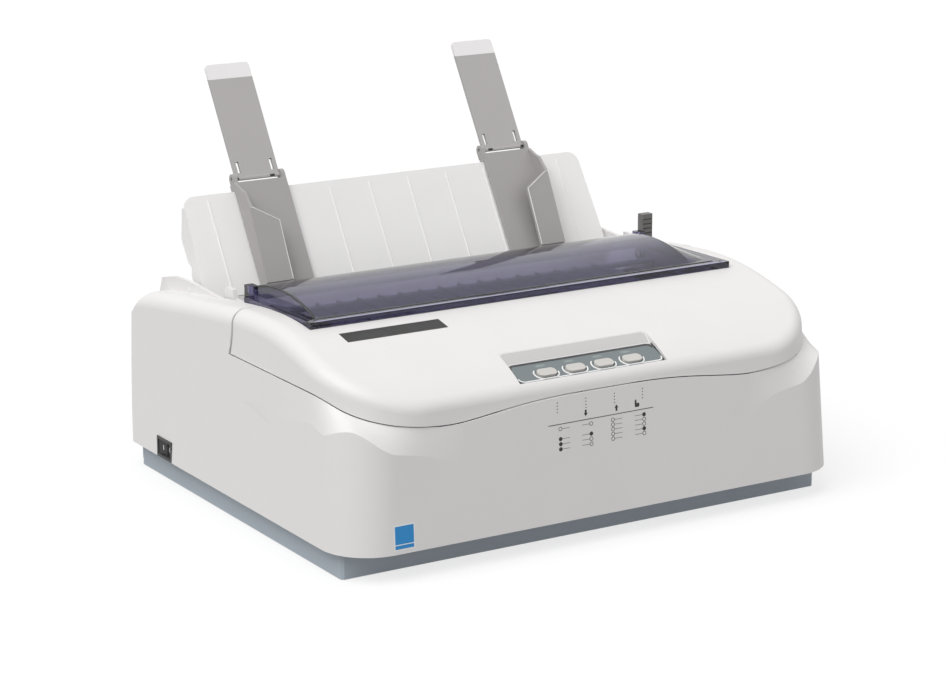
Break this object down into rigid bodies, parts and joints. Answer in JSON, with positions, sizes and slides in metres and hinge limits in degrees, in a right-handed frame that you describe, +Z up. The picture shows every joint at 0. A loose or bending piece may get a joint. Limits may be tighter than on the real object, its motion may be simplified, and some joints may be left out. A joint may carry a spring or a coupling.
{
  "type": "dot matrix printer",
  "caption": "Desktop dot matrix printer with a wavy hinged hood, smoked window cover, sloping paper table with sliding edge guides and arms, key panel, and its print and feed mechanism.",
  "frame": {"origin": "middle of the whole printer on the surface it stands on, with its cover closed and its paper table and arms up", "axes": "+X to the right along the front, +Y from front to back, +Z up"},
  "size_m": [0.416, 0.3618, 0.2951],
  "materials": {
    "case_plastic": "fine texture",
    "base_plastic": "fine texture",
    "rubber": "matte",
    "grey_plastic": "fine texture",
    "light_grey_plastic": "satin",
    "black_plastic": "satin",
    "smoked_plastic": "clear tinted",
    "film": "satin",
    "button_plastic": "satin",
    "light_plastic": "clear",
    "steel": "zinc plated",
    "rod_steel": "ground",
    "aluminium": "black anodised",
    "gear_plastic": "natural",
    "board": "lacquered",
    "ribbon": "inked"
  },
  "bodies": {
    "casing": {"main_case": "case_plastic", "base_tray": "base_plastic", "rubber_feet": "rubber", "case_screws": "steel", "mech_plate": "steel", "frame_left": "steel", "frame_right": "steel", "carriage_rod": "rod_steel", "carriage_rail": "steel", "platen_bushes": "gear_plastic", "paper_chute": "light_grey_plastic", "paper_separator": "light_grey_plastic", "feed_motor": "steel", "carriage_motor": "steel", "motor_bracket": "steel", "belt_tensioner": "steel", "carriage_belt": "rubber", "ribbon_cartridge": "black_plastic", "ribbon_band": "ribbon", "tractor_rail": "rod_steel", "main_board": "board", "power_supply": "black_plastic", "ac_inlet": "black_plastic", "switch_frame": "black_plastic", "rear_ports": "steel", "panel_housing": "black_plastic", "panel_film": "film", "panel_board": "board", "panel_lights": "light_plastic"},
    "hood_body": {"hood": "case_plastic", "label_plate": "black_plastic"},
    "cover_body": {"access_cover": "smoked_plastic"},
    "table_body": {"paper_table": "case_plastic"},
    "guide_left_body": {"guide_left": "grey_plastic"},
    "guide_right_body": {"guide_right": "grey_plastic"},
    "arm_left_body": {"arm_left": "grey_plastic"},
    "arm_right_body": {"arm_right": "grey_plastic"},
    "platen_body": {"platen": "rubber", "platen_shaft": "rod_steel", "platen_gear": "gear_plastic", "platen_knob": "light_grey_plastic"},
    "idler_body": {"idler_gear": "gear_plastic"},
    "pinion_body": {"feed_pinion": "gear_plastic"},
    "tractor_drive": {"tractor_shaft": "rod_steel", "tractor_gear": "gear_plastic"},
    "roller_body": {"pressure_rollers": "rod_steel"},
    "carriage_body": {"carriage": "black_plastic", "print_head": "aluminium", "head_heat_sink": "aluminium"},
    "drive_pulley_body": {"drive_pulley": "gear_plastic"},
    "idler_pulley_body": {"idler_pulley": "gear_plastic"},
    "ribbon_knob_body": {"ribbon_knob": "grey_plastic"},
    "tractor_left_body": {"tractor_left": "black_plastic"},
    "tractor_right_body": {"tractor_right": "black_plastic"},
    "lever_body": {"paper_lever": "grey_plastic"},
    "rocker_body": {"power_rocker": "black_plastic"},
    "button_1_body": {"button_1": "button_plastic"},
    "button_2_body": {"button_2": "button_plastic"},
    "button_3_body": {"button_3": "button_plastic"},
    "button_4_body": {"button_4": "button_plastic"}
  },
  "joints": [
    {"name": "hood_hinge", "type": "hinge", "parent": "casing", "child": "hood_body", "pos_m": [0, 0.04911, 0.14], "axis": [-1, 0, 0], "range_deg": [0, 40]},
    {"name": "cover_hinge", "type": "hinge", "parent": "hood_body", "child": "cover_body", "pos_m": [0, 0.02861, 0.1452], "axis": [-1, 0, 0], "range_deg": [0, 80]},
    {"name": "table_hinge", "type": "hinge", "parent": "casing", "child": "table_body", "pos_m": [0, 0.10306, 0.143], "axis": [-1, 0, 0], "range_deg": [0, 45]},
    {"name": "guide_left_slide", "type": "slide", "parent": "table_body", "child": "guide_left_body", "axis": [1, 0, 0], "range_m": [-0.025, 0.04]},
    {"name": "guide_right_slide", "type": "slide", "parent": "table_body", "child": "guide_right_body", "axis": [1, 0, 0], "range_m": [-0.04, 0.025]},
    {"name": "arm_left_hinge", "type": "hinge", "parent": "guide_left_body", "child": "arm_left_body", "pos_m": [0, 0.13171, 0.21598], "axis": [-1, 0, 0], "range_deg": [0, 90]},
    {"name": "arm_right_hinge", "type": "hinge", "parent": "guide_right_body", "child": "arm_right_body", "pos_m": [0, 0.13171, 0.21598], "axis": [-1, 0, 0], "range_deg": [0, 90]},
    {"name": "platen_spin", "type": "hinge", "parent": "casing", "child": "platen_body", "pos_m": [0, 0.02411, 0.112], "axis": [1, 0, 0], "continuous": true},
    {"name": "idler_spin", "type": "hinge", "parent": "casing", "child": "idler_body", "pos_m": [0, 0.03916, 0.07279], "axis": [1, 0, 0], "continuous": true},
    {"name": "pinion_spin", "type": "hinge", "parent": "casing", "child": "pinion_body", "pos_m": [0, 0.05015, 0.04923], "axis": [1, 0, 0], "continuous": true},
    {"name": "tractor_spin", "type": "hinge", "parent": "casing", "child": "tractor_drive", "pos_m": [0, 0.07309, 0.08481], "axis": [1, 0, 0], "continuous": true},
    {"name": "roller_spin", "type": "hinge", "parent": "casing", "child": "roller_body", "pos_m": [0, 0.01583, 0.08494], "axis": [1, 0, 0], "continuous": true},
    {"name": "carriage_slide", "type": "slide", "parent": "casing", "child": "carriage_body", "axis": [1, 0, 0], "range_m": [-0.105, 0.105]},
    {"name": "drive_pulley_spin", "type": "hinge", "parent": "casing", "child": "drive_pulley_body", "pos_m": [-0.15, -0.05639, 0.088], "axis": [0, 0, 1], "continuous": true},
    {"name": "idler_pulley_spin", "type": "hinge", "parent": "casing", "child": "idler_pulley_body", "pos_m": [0.15, -0.05639, 0.088], "axis": [0, 0, 1], "continuous": true},
    {"name": "ribbon_knob_spin", "type": "hinge", "parent": "casing", "child": "ribbon_knob_body", "pos_m": [0.112, -0.05439, 0.142], "axis": [0, 0, 1], "continuous": true},
    {"name": "tractor_left_slide", "type": "slide", "parent": "casing", "child": "tractor_left_body", "axis": [1, 0, 0], "range_m": [-0.02, 0.02]},
    {"name": "tractor_right_slide", "type": "slide", "parent": "casing", "child": "tractor_right_body", "axis": [1, 0, 0], "range_m": [-0.02, 0.02]},
    {"name": "lever_hinge", "type": "hinge", "parent": "casing", "child": "lever_body", "pos_m": [0.1863, 0.04711, 0.1], "axis": [1, 0, 0], "range_deg": [-12, 12]},
    {"name": "rocker_hinge", "type": "hinge", "parent": "casing", "child": "rocker_body", "pos_m": [-0.20506, 0.09636, 0.0278], "axis": [0, 0, 1], "range_deg": [-12, 0]},
    {"name": "button_1_press", "type": "slide", "parent": "casing", "child": "button_1_body", "axis": [0, 0.3891, -0.9212], "range_m": [0, 0.001], "stiffness_N_per_m": 600, "springref_m": -0.001},
    {"name": "button_2_press", "type": "slide", "parent": "casing", "child": "button_2_body", "axis": [0, 0.3891, -0.9212], "range_m": [0, 0.001], "stiffness_N_per_m": 600, "springref_m": -0.001},
    {"name": "button_3_press", "type": "slide", "parent": "casing", "child": "button_3_body", "axis": [0, 0.3891, -0.9212], "range_m": [0, 0.001], "stiffness_N_per_m": 600, "springref_m": -0.001},
    {"name": "button_4_press", "type": "slide", "parent": "casing", "child": "button_4_body", "axis": [0, 0.3891, -0.9212], "range_m": [0, 0.001], "stiffness_N_per_m": 600, "springref_m": -0.001}
  ],
  "couplings": [
    {"joint": "idler_spin", "follows": "platen_spin", "ratio": -1.3333},
    {"joint": "pinion_spin", "follows": "platen_spin", "ratio": 3},
    {"joint": "tractor_spin", "follows": "platen_spin", "ratio": 1.3333},
    {"joint": "roller_spin", "follows": "platen_spin", "ratio": -1.5455},
    {"joint": "drive_pulley_spin", "follows": "carriage_slide", "rad_per_m": -128.21},
    {"joint": "idler_pulley_spin", "follows": "carriage_slide", "rad_per_m": -128.21}
  ]
}
